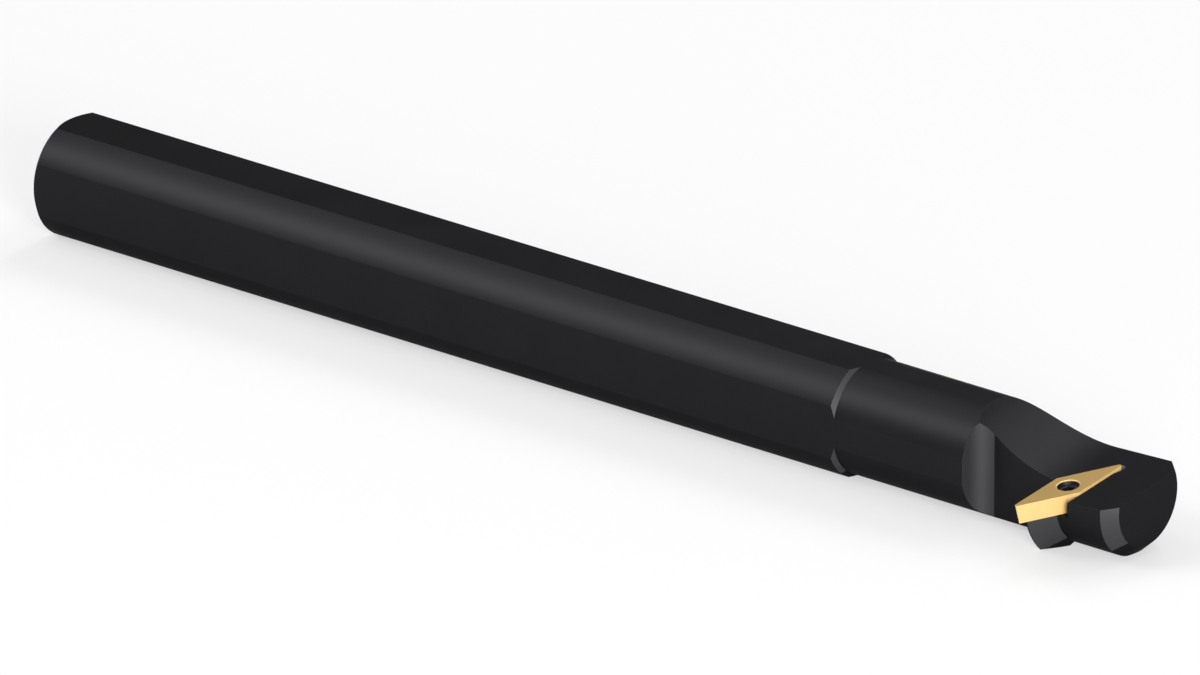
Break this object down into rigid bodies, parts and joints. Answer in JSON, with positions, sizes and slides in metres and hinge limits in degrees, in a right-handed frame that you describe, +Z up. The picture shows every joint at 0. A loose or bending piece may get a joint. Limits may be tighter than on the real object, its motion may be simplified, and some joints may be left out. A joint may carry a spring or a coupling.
{
  "type": "boring bar",
  "caption": "Back-boring bar: round steel shank with flats, stepped-down neck and a head with a chip hollow, support boss and a screw-held diamond insert whose edge faces back.",
  "frame": {"origin": "centre of the shank's back face, on the bar's axis", "axes": "+X along the bar's axis towards its head, +Z up and square to the top flat, -Y the side that the insert reaches out on"},
  "size_m": [0.2151, 0.0242, 0.018],
  "materials": {
    "bar": "tool steel with a satin black oxide finish",
    "insert": "carbide with a thin gold-coloured hard coating, satin",
    "insert_screw": "dark hardened steel"
  },
  "bodies": {
    "root": {"bar": "bar", "insert": "insert", "insert_screw": "insert_screw"}
  },
  "joints": []
}
